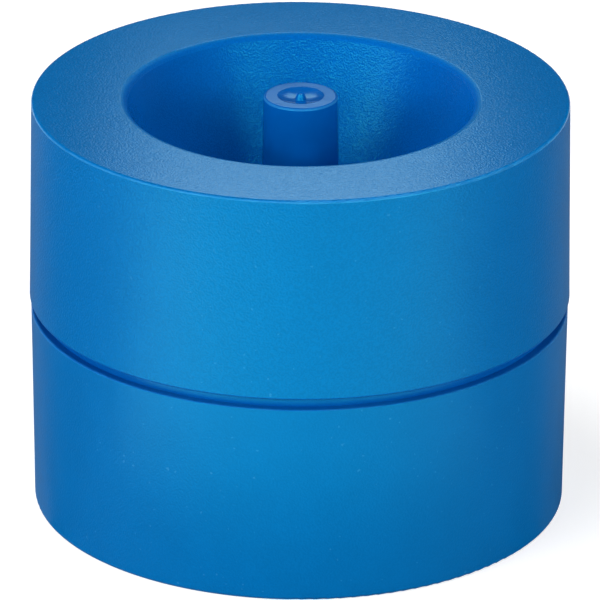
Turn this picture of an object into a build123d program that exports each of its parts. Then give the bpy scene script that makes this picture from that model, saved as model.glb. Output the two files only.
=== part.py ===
from build123d import *
import os
from math import cos, radians, tan

# Magnetic paper clip holder: a storage cup, a lift-off lid with a funnel bowl, and a magnet in a hollow post.
# Millimetres, +Z up. The origin is the centre of the cup's underside, and every piece is turned about the Z axis.

# Outside
body_diameter = 73.0  # across the lid's lower edge, the widest place
cup_height = 27.8  # desk to the cup's outer shoulder
shadow_gap = 1.5  # open groove between the cup's shoulder and the lid's lower edge
lid_height = 28.1  # lid's lower edge to its flat top ring
cup_inset = 0.2  # the cup's shoulder lies this far inside the lid's lower edge
lid_draft = 0.8  # degrees that the lid's side leans in towards the top
cup_draft = 0.65  # degrees that the cup's side leans in towards the foot
rim_radius = 0.4  # rounding of the lid's upper outer edge
foot_radius = 0.5  # rounding of the cup's lower outer edge
edge_radius = 0.25  # rounding of the two edges beside the groove

# Walls
wall = 2.4  # lid's skirt and cup's side
ring_thickness = 2.2  # flat top ring of the lid
bowl_wall = 2.0  # side and floor of the bowl
cup_floor = 2.2
inner_radius = 1.2  # rounding of the inside corners

# Cup's spigot and the lid's rebate that drops over it
groove_depth = 1.2  # the spigot stands back this far from the cup's shoulder
spigot_height = 5.0  # cup's shoulder to the top of the spigot, where the lid rests
spigot_radius = 0.3  # rounding of the spigot's upper outer edge
lid_clearance = 0.3  # gap round the spigot

# Standing rim under the cup
foot_width = 3.0
foot_recess = 0.8

# Funnel bowl
mouth_diameter = 48.6  # where the flat ring ends and the lip starts to roll over
lip_radius = 1.2
bowl_slope = 26.0  # degrees of the bowl's side from upright
bowl_depth = 24.0  # flat ring down to the bowl's floor
bowl_corner_radius = 6.0  # rounding between the bowl's side and floor

# Hollow post
post_diameter = 10.0  # at the top
post_draft = 0.8  # degrees that the post widens downwards
post_rise = 0.4  # top of the post above the flat ring
post_edge_radius = 0.4
post_cap = 1.8  # plastic between the magnet and the top of the post
tail_diameter = 8.8  # reduced end that passes through the bowl's floor
push_clearance = 0.04  # gap round each piece that is pushed into a hole

# Dish in the top of the post, and the moulding gate's stub in it
dish_diameter = 6.3
dish_depth = 0.5
gate_diameter = 1.6
gate_tip_diameter = 0.9
gate_height = 0.8
gate_pit_depth = 0.15

# Magnet and the plug that closes the post's bore
magnet_diameter = 6.0
magnet_edge = 0.3  # chamfer of the magnet's ends
plug_stem = 4.6  # length inside the post's bore
plug_flange_diameter = 14.0
plug_flange_thickness = 1.2
plug_edge = 0.3  # chamfer of the plug's outer edges

# Heights and radii that follow from the sizes above
lid_low_z = cup_height + shadow_gap
seat_z = cup_height + spigot_height
rim_z = lid_low_z + lid_height
ring_low_z = rim_z - ring_thickness
floor_z = rim_z - bowl_depth
floor_low_z = floor_z - bowl_wall
post_top_z = rim_z + post_rise
bore_top_z = post_top_z - post_cap
magnet_low_z = floor_low_z + plug_stem
flange_low_z = floor_low_z - plug_flange_thickness

lid_lean = tan(radians(lid_draft))
cup_lean = tan(radians(cup_draft))
lid_low_r = body_diameter / 2
rim_r = lid_low_r - lid_height * lid_lean
shoulder_r = lid_low_r - cup_inset
foot_r = shoulder_r - cup_height * cup_lean
spigot_r = shoulder_r - groove_depth
rebate_r = spigot_r + lid_clearance
skirt_inner_r = lid_low_r - wall
skirt_inner_top_r = skirt_inner_r - (ring_low_z - seat_z) * lid_lean
cup_inner_r = shoulder_r - wall
cup_inner_low_r = cup_inner_r - cup_height * cup_lean

# The bowl's side is a cone. Its corner with the flat ring is where the two would meet without the lip's rounding.
slope = tan(radians(bowl_slope))
lip_run = lip_radius * tan(radians((90 - bowl_slope) / 2))
bowl_corner_r = mouth_diameter / 2 - lip_run
bowl_floor_r = bowl_corner_r - bowl_depth * slope
bowl_skin = bowl_wall / cos(radians(bowl_slope))
under_ring_r = bowl_corner_r - ring_thickness * slope + bowl_skin
under_floor_r = bowl_corner_r - (rim_z - floor_low_z) * slope + bowl_skin

post_top_r = post_diameter / 2
post_base_r = post_top_r + (post_top_z - floor_z) * tan(radians(post_draft))
magnet_r = magnet_diameter / 2
bore_r = magnet_r + push_clearance
stem_r = bore_r - push_clearance
tail_r = tail_diameter / 2
hub_r = tail_r + push_clearance
dish_r = dish_diameter / 2
dish_ball_r = (dish_r**2 + dish_depth**2) / (2 * dish_depth)
dish_low_z = post_top_z - dish_depth
gate_tip_r = gate_tip_diameter / 2
gate_pit_ball_r = (gate_tip_r**2 + gate_pit_depth**2) / (2 * gate_pit_depth)


os.makedirs("parts", exist_ok=True)

# Base cup: standing rim, side, shoulder of the groove and the spigot that takes the lid
with BuildPart() as base_cup:
    with BuildSketch(Plane.XZ):
        with BuildLine():
            FilletPolyline(
                (0, foot_recess),
                (foot_r - foot_width, foot_recess),
                (foot_r - foot_width, 0),
                (foot_r, 0),
                (shoulder_r, cup_height),
                (spigot_r, cup_height),
                (spigot_r, seat_z),
                (cup_inner_r, seat_z),
                (cup_inner_low_r, foot_recess + cup_floor),
                (0, foot_recess + cup_floor),
                radius=[0, 0, edge_radius, foot_radius, edge_radius, 0, spigot_radius, edge_radius, inner_radius, 0],
                close=True,
            )
        make_face()
    revolve(axis=Axis.Z)
base_cup.part.label = "base_cup"
export_step(base_cup.part, "parts/base_cup.step")

# Lid shell: skirt with the rebate that drops over the spigot, flat top ring, rolled lip and funnel bowl
with BuildPart() as lid_shell:
    with BuildSketch(Plane.XZ):
        with BuildLine():
            FilletPolyline(
                (rim_r, rim_z),
                (lid_low_r, lid_low_z),
                (rebate_r, lid_low_z),
                (rebate_r, seat_z),
                (skirt_inner_r, seat_z),
                (skirt_inner_top_r, ring_low_z),
                (under_ring_r, ring_low_z),
                (under_floor_r, floor_low_z),
                (hub_r, floor_low_z),
                (hub_r, floor_z),
                (bowl_floor_r, floor_z),
                (bowl_corner_r, rim_z),
                radius=[
                    rim_radius,
                    edge_radius,
                    0,
                    0,
                    0,
                    inner_radius,
                    inner_radius,
                    bowl_corner_radius + bowl_wall,
                    0,
                    0,
                    bowl_corner_radius,
                    lip_radius,
                ],
                close=True,
            )
        make_face()
    revolve(axis=Axis.Z)
lid_shell.part.label = "lid_shell"
export_step(lid_shell.part, "parts/lid_shell.step")

# Magnet post: smooth tapered post with a blind bore, standing on the bowl's floor with its tail through the floor
with BuildPart() as magnet_post:
    with BuildSketch(Plane.XZ):
        with BuildLine():
            FilletPolyline(
                (0, bore_top_z),
                (bore_r, bore_top_z),
                (bore_r, floor_low_z),
                (tail_r, floor_low_z),
                (tail_r, floor_z),
                (post_base_r, floor_z),
                (post_top_r, post_top_z),
                (0, post_top_z),
                radius=[0, 0, 0, 0, 0, 0, post_edge_radius, 0],
                close=True,
            )
        make_face()
    revolve(axis=Axis.Z)
    with Locations((0, 0, dish_low_z + dish_ball_r)):
        Sphere(dish_ball_r, mode=Mode.SUBTRACT)
    with Locations((0, 0, dish_low_z)):
        Cone(
            gate_diameter / 2,
            gate_tip_r,
            gate_height,
            align=(Align.CENTER, Align.CENTER, Align.MIN),
        )
    with Locations((0, 0, dish_low_z + gate_height - gate_pit_depth + gate_pit_ball_r)):
        Sphere(gate_pit_ball_r, mode=Mode.SUBTRACT)
magnet_post.part.label = "magnet_post"
export_step(magnet_post.part, "parts/magnet_post.step")

# Bar magnet: fills the bore above the plug
with BuildPart() as bar_magnet:
    with BuildSketch(Plane.XY.offset(magnet_low_z)):
        Circle(magnet_r)
    extrude(amount=bore_top_z - magnet_low_z)
    chamfer(bar_magnet.edges().filter_by(GeomType.CIRCLE), magnet_edge)
bar_magnet.part.label = "bar_magnet"
export_step(bar_magnet.part, "parts/bar_magnet.step")

# Magnet plug: stem in the bore up to the magnet, and a flange against the bowl's floor from below
with BuildPart() as magnet_plug:
    with BuildSketch(Plane.XY.offset(flange_low_z)):
        Circle(plug_flange_diameter / 2)
    extrude(amount=plug_flange_thickness)
    with BuildSketch(Plane.XY.offset(floor_low_z)):
        Circle(stem_r)
    extrude(amount=plug_stem)
    round_edges = magnet_plug.edges().filter_by(GeomType.CIRCLE).sort_by(Axis.Z)
    chamfer([round_edges[0], round_edges[-1]], plug_edge)
magnet_plug.part.label = "magnet_plug"
export_step(magnet_plug.part, "parts/magnet_plug.step")
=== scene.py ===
from math import cos, pi, radians, sin

import bpy
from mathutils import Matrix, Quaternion, Vector


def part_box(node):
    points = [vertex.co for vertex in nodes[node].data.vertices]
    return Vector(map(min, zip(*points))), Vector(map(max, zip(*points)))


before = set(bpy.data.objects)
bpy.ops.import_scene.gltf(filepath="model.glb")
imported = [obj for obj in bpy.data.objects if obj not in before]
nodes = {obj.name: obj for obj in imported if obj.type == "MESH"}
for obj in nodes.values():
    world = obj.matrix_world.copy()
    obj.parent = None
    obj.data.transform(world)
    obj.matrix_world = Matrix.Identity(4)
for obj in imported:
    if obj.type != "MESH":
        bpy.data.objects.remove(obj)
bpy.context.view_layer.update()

# Magnetic paper clip holder: finishes, studio and camera round the solids.
# Metres, +Z up. The photo looks along +Y.

mm = 0.001

# Sizes read from the frame
lid_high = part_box("lid_shell")[1]
ring_z = lid_high.z
body_radius = lid_high.x

# Camera of the photo, which stood very slightly rolled
camera_lens = 489.0
camera_distance = 1.103
camera_elevation = 23.23
camera_roll = 0.33
camera_aim = Vector((0.053 * mm, 0, 27.98 * mm))
camera_near = 0.01
camera_far = 50

# The blue plastic of every moulding. Outer faces are painted paler than the bowl, groove and post, as a
# painted sheen; the deeper blue is the plastic's own.
sheen_deep_blue = (0.0, 0.101, 0.314, 1)
sheen_fresh_blue = (0.0, 0.151, 0.456, 1)
inner_deep_blue = (0.0, 0.069, 0.3, 1)
inner_fresh_blue = (0.0, 0.112, 0.46, 1)
# Paler blue: a painted highlight on the lid's rim fillet and the post's top edge, wear on the cup's
# shoulder, and painted glints in the flecks.
highlight_and_wear_blue = (0.02, 0.19, 0.47, 1)
gloss_tint = (0.04, 1.0, 1.0, 1)
plastic_gloss = 0.5

# The ferrite of the magnet
dark_ferrite = (0.02, 0.02, 0.022, 1)
pale_ferrite = (0.055, 0.055, 0.06, 1)

# Sizes in the textures of the materials
grain_size = 0.26 * mm
bowl_grain_size = 0.22 * mm
fleck_spacing = 0.5 * mm
mottle_size = 6 * mm
edge_patch_size = 3 * mm
post_mottle_size = 4 * mm
post_haze_size = 1.2 * mm
grit_size = 0.3 * mm

# Bands of a noise's values, over which a ramp goes from its low to its high end
wide_noise = (0.2, 0.8)
middle_noise = (0.3, 0.7)
patch_noise = (0.3, 0.6)
fleck_noise = (0.8, 0.87)

# Bands of radius or height on the solids, over which a mask goes from none to all
lid_wall_radii = (35.0 * mm, 35.3 * mm)
lid_wall_heights = (29.4 * mm, 29.7 * mm)
bowl_radii = (24.3 * mm, 23.3 * mm)
lip_radii = (25.0 * mm, 24.6 * mm)
cup_wall_radii = (35.5 * mm, 35.6 * mm)
cup_wall_heights = (27.75 * mm, 27.6 * mm)
cup_shoulder_radii = (35.9 * mm, 36.0 * mm)
post_edge_radii = (4.4 * mm, 4.6 * mm)

# Bands of the upward part of the surface's direction, which is 0 on an upright wall and 1 on a level face.
# Two bands bound a rounded edge: the mask rises over the first and falls over the second.
upper_tilts = (0.2, 0.35)
rim_tilts = ((0.08, 0.2), (0.995, 0.95))
# The lower half of the lid's rim fillet, which gets a painted highlight.
highlight_rim_tilts = ((0.08, 0.25), (0.85, 0.6))
lip_tilts = ((0.47, 0.6), (0.998, 0.985))
shoulder_tilts = (0.2, 0.4)
post_edge_tilts = ((0.15, 0.35), (0.9, 0.75))

# Floor and world. Near the object, where the lamps light the floor too, its own glow is weaker.
floor_radius = 30.0
floor_sides = 128
floor_grey = (0.5, 0.5, 0.5, 1)
white = (1, 1, 1, 1)
glow_radii = (0.2, 0.7)
near_glow = 0.68
far_glow = 0.97
world_strength = 0.03

# Lamps and cards
lamp_distance = 0.8
lamp_target = Vector((0, 0, 30 * mm))
table_card_span = 20
table_card_lift = 4 * mm
table_card_count = 6
first_table_card = -50

# Dark flags on the table. The side flags lie just over the grey one.
grey_flag_outline = [(-0.45, -0.065), (0.45, -0.065), (0.45, 0.2), (-0.45, 0.2)]
grey_flag_height = 0.1 * mm
side_flag_height = 0.2 * mm
side_flag_width = 0.3
side_flag_reach = 0.35


def direction(azimuth, elevation):
    """Unit vector towards a place round the object. Azimuth 0 is the camera's side and 90 is the right."""
    a = radians(azimuth)
    e = radians(elevation)
    return Vector((sin(a) * cos(e), -cos(a) * cos(e), sin(e)))


def add_camera():
    data = bpy.data.cameras.new("photo_camera")
    camera = bpy.data.objects.new("photo_camera", data)
    bpy.context.scene.collection.objects.link(camera)
    data.lens = camera_lens
    data.clip_start = camera_near
    data.clip_end = camera_far
    back = direction(0, camera_elevation)
    camera.location = camera_aim + back * camera_distance
    roll = Quaternion((0, 0, 1), radians(camera_roll))
    camera.rotation_euler = ((-back).to_track_quat("-Z", "Y") @ roll).to_euler()
    bpy.context.scene.camera = camera


class Tree:
    """Short calls for building one node tree."""

    def __init__(self, tree):
        self.tree = tree
        tree.nodes.clear()

    def add(self, kind, **properties):
        node = self.tree.nodes.new(kind)
        for name, value in properties.items():
            setattr(node, name, value)
        return node

    def feed(self, socket, value):
        """Links an output socket to an input socket, or sets the input's value."""
        if isinstance(value, bpy.types.NodeSocket):
            self.tree.links.new(value, socket)
        else:
            socket.default_value = value

    def place(self):
        """The point on the surface, in the object's own frame."""
        return self.add("ShaderNodeTexCoord").outputs["Object"]

    def split(self, vector):
        node = self.add("ShaderNodeSeparateXYZ")
        self.feed(node.inputs[0], vector)
        return node.outputs

    def height(self, place):
        return self.split(place)["Z"]

    def radius(self, place):
        """Distance from the Z axis."""
        axes = self.split(place)
        x = axes["X"]
        y = axes["Y"]
        return self.math("SQRT", self.math("ADD", self.times(x, x), self.times(y, y)))

    def upward(self):
        """How far the surface faces up."""
        return self.split(self.add("ShaderNodeNewGeometry").outputs["Normal"])["Z"]

    def math(self, operation, a, b=0.0):
        node = self.add("ShaderNodeMath", operation=operation)
        self.feed(node.inputs[0], a)
        self.feed(node.inputs[1], b)
        return node.outputs[0]

    def times(self, a, b):
        return self.math("MULTIPLY", a, b)

    def ramp(self, value, low, high, to_low=0.0, to_high=1.0):
        """Smooth step from to_low at low to to_high at high."""
        node = self.add("ShaderNodeMapRange", interpolation_type="SMOOTHSTEP")
        for socket, number in zip(node.inputs, (value, low, high, to_low, to_high)):
            self.feed(socket, number)
        return node.outputs[0]

    def between(self, value, rise, fall):
        """One between two bands of the value, and zero outside them."""
        return self.times(self.ramp(value, *rise), self.ramp(value, *fall))

    def noise(self, place, size, detail):
        """Noise whose cells are size metres across."""
        node = self.add("ShaderNodeTexNoise", noise_dimensions="3D")
        self.feed(node.inputs["Vector"], place)
        self.feed(node.inputs["Scale"], 1 / size)
        self.feed(node.inputs["Detail"], detail)
        return node.outputs["Fac"]

    def mix(self, factor, a, b):
        """Mixes two colours. Their sockets come after those for numbers and vectors."""
        node = self.add("ShaderNodeMix", data_type="RGBA")
        self.feed(node.inputs[0], factor)
        self.feed(node.inputs[6], a)
        self.feed(node.inputs[7], b)
        return node.outputs[2]

    def mix_value(self, factor, a, b):
        """Mixes two numbers."""
        node = self.add("ShaderNodeMix", data_type="FLOAT")
        self.feed(node.inputs[0], factor)
        self.feed(node.inputs[2], a)
        self.feed(node.inputs[3], b)
        return node.outputs[0]

    def bump(self, height, strength, distance):
        node = self.add("ShaderNodeBump")
        self.feed(node.inputs["Strength"], strength)
        self.feed(node.inputs["Distance"], distance)
        self.feed(node.inputs["Height"], height)
        return node.outputs[0]

    def surface(self, **values):
        """The material's one Principled shader. Each value names a socket, with _ for a space."""
        shader = self.add("ShaderNodeBsdfPrincipled", distribution="GGX")
        for name, value in values.items():
            self.feed(shader.inputs[name.replace("_", " ")], value)
        output = self.add("ShaderNodeOutputMaterial")
        self.feed(output.inputs[0], shader.outputs[0])


def new_material(name):
    material = bpy.data.materials.new(name)
    material.use_nodes = True
    return material, Tree(material.node_tree)


def grained_plastic(name, find_faces):
    """Blue moulded plastic with a fine spark-eroded grain. find_faces says where, and how deep."""
    material, t = new_material(name)
    place = t.place()
    faces = find_faces(t, place)
    mottle = t.ramp(t.noise(place, mottle_size, detail=3.0), *wide_noise, to_low=0.4, to_high=0.6)
    speck = t.mix_value(faces["speck"], mottle, t.ramp(faces["grain"], *middle_noise))
    # Outer faces take the paler blue as a painted sheen; the bowl, groove and post keep the plastic's own
    # deeper blue.
    sheen_blue = t.mix(speck, sheen_deep_blue, sheen_fresh_blue)
    inner_blue = t.mix(speck, inner_deep_blue, inner_fresh_blue)
    blue = t.mix(faces["painted_sheen"], inner_blue, sheen_blue)
    patches = t.ramp(t.noise(place, edge_patch_size, detail=3.0), *patch_noise, to_low=0.45, to_high=1.0)
    # Tiny pale flecks on the outer faces are painted glints of the grain.
    glint_flecks = t.ramp(t.noise(place, fleck_spacing, detail=0.0), *fleck_noise, to_low=0.0, to_high=0.8)
    # Paler edges: a painted highlight on the lid's rim, wear on the cup's shoulder. Broken into patches
    # along the edge.
    highlights_and_wear = t.math("MAXIMUM", t.times(faces["pale_edge"], patches), t.times(faces["painted_sheen"], glint_flecks))
    t.surface(
        Base_Color=t.mix(highlights_and_wear, blue, highlight_and_wear_blue),
        Roughness=faces["roughness"],
        Specular_IOR_Level=plastic_gloss,
        Specular_Tint=gloss_tint,
        Normal=t.bump(faces["grain"], faces["grained"], faces["grain_depth"]),
    )
    return material


def lid_faces(t, place):
    """The lid is grained on its wall, ring and bowl, and smooth inside and on its rounded edges."""
    radius = t.radius(place)
    up = t.upward()
    wall = t.times(t.ramp(radius, *lid_wall_radii), t.ramp(t.height(place), *lid_wall_heights))
    upper = t.ramp(up, *upper_tilts)
    bowl = t.ramp(radius, *bowl_radii)
    lip = t.times(t.ramp(radius, *lip_radii), t.between(up, *lip_tilts))
    rim = t.times(wall, t.between(up, *rim_tilts))
    outside = t.math("MAXIMUM", wall, upper)
    coarse = t.noise(place, grain_size, detail=0.0)
    fine = t.noise(place, bowl_grain_size, detail=0.0)

    def by_face(on_wall, on_ring, in_bowl):
        """A number for each of the three grained faces."""
        return t.mix_value(upper, on_wall, t.mix_value(bowl, on_ring, in_bowl))

    rim_smoothing = 0.85
    wall_roughness = 0.36
    upper_roughness = 0.2
    lip_roughness = 0.5
    return {
        "grain": t.mix_value(bowl, coarse, fine),
        "grained": t.math("SUBTRACT", outside, t.times(rim, rim_smoothing)),
        "grain_depth": by_face(on_wall=0.055 * mm, on_ring=0.024 * mm, in_bowl=0.044 * mm),
        "speck": by_face(on_wall=0.35, on_ring=0.5, in_bowl=0.4),
        "roughness": t.mix_value(upper, wall_roughness, t.mix_value(lip, upper_roughness, lip_roughness)),
        # The wall and ring get the painted sheen, the bowl does not.
        "painted_sheen": t.math("SUBTRACT", outside, bowl),
        # A painted highlight along the lower half of the rim fillet.
        "pale_edge": t.times(wall, t.between(up, *highlight_rim_tilts)),
    }


def cup_faces(t, place):
    """The cup is grained on its wall only. Its ledge and spigot, seen in the groove, are smooth."""
    radius = t.radius(place)
    wall = t.times(t.ramp(radius, *cup_wall_radii), t.ramp(t.height(place), *cup_wall_heights))
    shoulder_wear = t.ramp(t.upward(), *shoulder_tilts, to_low=0.0, to_high=0.3)
    smooth_roughness = 0.3
    wall_roughness = 0.38
    return {
        "grain": t.noise(place, grain_size, detail=0.0),
        "grained": wall,
        "grain_depth": 0.025 * mm,
        "speck": 0.15,
        "roughness": t.mix_value(wall, smooth_roughness, wall_roughness),
        # The wall gets the painted sheen.
        "painted_sheen": wall,
        "pale_edge": t.times(t.ramp(radius, *cup_shoulder_radii), shoulder_wear),
    }


def smooth_plastic():
    """The same blue plastic from a smooth mould."""
    material, t = new_material("smooth_plastic")
    place = t.place()
    mottle = t.ramp(t.noise(place, post_mottle_size, detail=3.0), *wide_noise, to_low=0.35, to_high=0.65)
    haze = t.noise(place, post_haze_size, detail=1.0)
    # The post's top edge is painted paler, as a painted highlight.
    top_edge = t.between(t.upward(), *post_edge_tilts)
    pale_edge = t.times(top_edge, t.ramp(t.radius(place), *post_edge_radii, to_low=0.0, to_high=0.6))
    t.surface(
        Base_Color=t.mix(pale_edge, t.mix(mottle, inner_deep_blue, inner_fresh_blue), highlight_and_wear_blue),
        Roughness=t.ramp(haze, *middle_noise, to_low=0.14, to_high=0.2),
        Specular_IOR_Level=plastic_gloss,
        Specular_Tint=gloss_tint,
        Normal=t.bump(haze, strength=0.3, distance=0.02 * mm),
    )
    return material


def ferrite():
    """Dark sintered ferrite of the rod magnet."""
    material, t = new_material("magnet_ferrite")
    grit = t.noise(t.place(), grit_size, detail=4.0)
    t.surface(
        Base_Color=t.mix(grit, dark_ferrite, pale_ferrite),
        Roughness=t.ramp(grit, *middle_noise, to_low=0.45, to_high=0.65),
        Normal=t.bump(grit, strength=0.4, distance=0.05 * mm),
    )
    return material


def dress(node, material):
    slots = nodes[node].data.materials
    slots.clear()
    slots.append(material)


def seen_directly(t):
    """One for camera, glossy and transmission rays, zero for diffuse and shadow rays."""
    path = t.add("ShaderNodeLightPath")
    mirror = t.math("MAXIMUM", path.outputs["Is Glossy Ray"], path.outputs["Is Transmission Ray"])
    return t.math("MAXIMUM", path.outputs["Is Camera Ray"], mirror)


def add_floor():
    bpy.ops.mesh.primitive_circle_add(vertices=floor_sides, radius=floor_radius, fill_type="NGON")
    floor = bpy.context.object
    floor.name = "floor"
    material, t = new_material("floor_white")
    glow = t.ramp(t.radius(t.place()), *glow_radii, to_low=near_glow, to_high=far_glow)
    t.surface(
        Base_Color=floor_grey,
        Roughness=0.6,
        Specular_IOR_Level=0.0,
        Emission_Color=white,
        Emission_Strength=t.times(seen_directly(t), glow),
    )
    floor.data.materials.append(material)


def set_world():
    world = bpy.data.worlds.new("studio")
    bpy.context.scene.world = world
    world.use_nodes = True
    t = Tree(world.node_tree)
    background = t.add("ShaderNodeBackground")
    t.feed(background.inputs["Color"], white)
    t.feed(background.inputs["Strength"], world_strength)
    output = t.add("ShaderNodeOutputWorld")
    t.feed(output.inputs[0], background.outputs[0])


def add_lamp(name, place, towards, width, height, radiance):
    """A lamp with a flat face, given by the brightness of that face."""
    data = bpy.data.lights.new(name, "AREA")
    data.shape = "RECTANGLE"
    data.size = width
    data.size_y = height
    data.energy = radiance * width * height * pi
    lamp = bpy.data.objects.new(name, data)
    bpy.context.scene.collection.objects.link(lamp)
    lamp.location = place
    lamp.rotation_euler = (towards - place).to_track_quat("-Z", "Y").to_euler()
    lamp.visible_camera = False
    return lamp


def round_object(azimuth, elevation):
    """A place at the lamps' distance from the object, and the point that a lamp there faces."""
    return lamp_target + direction(azimuth, elevation) * lamp_distance, lamp_target


def add_softbox(name, azimuth, elevation, width, height, radiance):
    """A softbox that lights the object without a mirror image of its own, which the gloss cards give."""
    lamp = add_lamp(name, *round_object(azimuth, elevation), width, height, radiance)
    lamp.visible_glossy = False


def add_gloss_card(name, place, towards, width, height, radiance):
    """A bright card out of the picture that only shows as gloss on the plastic."""
    card = add_lamp(name, place, towards, width, height, radiance)
    card.visible_diffuse = False
    return card


def add_round_card(name, azimuth, elevation, width, height, radiance):
    """A gloss card at the lamps' distance from the object."""
    add_gloss_card(name, *round_object(azimuth, elevation), width, height, radiance)


def add_table_card(name, azimuth, distance, depth, radiance):
    """A gloss card that lies face up just over the table, where the wall mirrors it."""
    spot = direction(azimuth, 0) * distance + Vector((0, 0, table_card_lift))
    over = spot + Vector((0, 0, 1))
    card = add_gloss_card(name, spot, over, distance * radians(table_card_span), depth, radiance)
    card.rotation_euler = (pi, 0, radians(azimuth))


def add_flag(name, outline, height, tone):
    """A dark card on the table that only gloss sees. It keeps round sides and grazed faces blue."""
    mesh = bpy.data.meshes.new(name)
    mesh.from_pydata([(x, y, height) for x, y in outline], [], [range(len(outline))])
    flag = bpy.data.objects.new(name, mesh)
    bpy.context.scene.collection.objects.link(flag)
    material, t = new_material(name)
    t.surface(Base_Color=(tone, tone, tone, 1), Roughness=1.0, Specular_IOR_Level=0.0)
    mesh.materials.append(material)
    flag.visible_camera = False
    flag.visible_diffuse = False
    flag.visible_shadow = False


def add_side_flag(name, side, front_y, limb):
    """A black flag beside the object. Behind its slanted edge, the wall's last strip mirrors the grey flag.

    That strip starts limb degrees round from the camera's side.
    """
    start = direction(limb, 0) * body_radius
    end = start + direction(2 * limb, 0) * side_flag_reach
    outline = [
        (0, front_y),
        (side_flag_width, front_y),
        (side_flag_width, end.y),
        (end.x, end.y),
        (start.x, start.y),
        (0, start.y),
    ]
    add_flag(name, [(x * side, y) for x, y in outline], side_flag_height, tone=0.0)


# Camera and finishes
add_camera()
dress("lid_shell", grained_plastic("grained_plastic_lid", lid_faces))
dress("base_cup", grained_plastic("grained_plastic_cup", cup_faces))
smooth = smooth_plastic()
dress("magnet_post", smooth)
dress("magnet_plug", smooth)
dress("bar_magnet", ferrite())

# Studio
add_floor()
set_world()
add_softbox("left_low_softbox", azimuth=-68, elevation=10, width=0.5, height=0.28, radiance=7.3)
add_softbox("left_softbox", azimuth=-40, elevation=25, width=0.6, height=0.2, radiance=6.6)
add_softbox("right_low_softbox", azimuth=62, elevation=10, width=0.38, height=0.28, radiance=7.1)
add_softbox("right_softbox", azimuth=32, elevation=25, width=0.42, height=0.2, radiance=7.4)
add_softbox("right_high_softbox", azimuth=60, elevation=50, width=0.38, height=0.28, radiance=1.6)
add_softbox("top_softbox", azimuth=-72, elevation=75, width=0.4, height=0.3, radiance=11.0)
for side in (-1, 1):
    add_softbox("back_fill", azimuth=130 * side, elevation=8, width=0.38, height=0.28, radiance=2.5)

# What the gloss sees: dark flags, and bright cards in front, on the table and behind
add_flag("grey_flag", grey_flag_outline, grey_flag_height, tone=0.22)
add_side_flag("left_flag", side=-1, front_y=-0.045, limb=70)
add_side_flag("right_flag", side=1, front_y=-0.065, limb=66)
add_round_card("front_left_card", azimuth=-50, elevation=21, width=0.6, height=0.16, radiance=4.7)
add_round_card("front_card", azimuth=-10, elevation=22.5, width=0.55, height=0.14, radiance=5.0)
add_round_card("front_right_card", azimuth=29, elevation=22, width=0.5, height=0.14, radiance=5.2)
add_round_card("dish_card", azimuth=172, elevation=60, width=0.1, height=0.06, radiance=4.0)
for step in range(table_card_count):
    azimuth = first_table_card + table_card_span * step
    add_table_card("far_table_card", azimuth, distance=0.135, depth=70 * mm, radiance=3.0 - 0.34 * step)
    add_table_card("near_table_card", azimuth, distance=0.08, depth=40 * mm, radiance=1.7 - 0.17 * step)
back_card = add_gloss_card(
    "back_card",
    place=Vector((0, 0.15, 0.144)),
    towards=Vector((0, -0.03, ring_z)),
    width=0.054,
    height=0.046,
    radiance=2.25,
)
back_card.data.color = (0.66, 0.88, 1.0)

bpy.context.scene.view_settings.view_transform = "Standard"
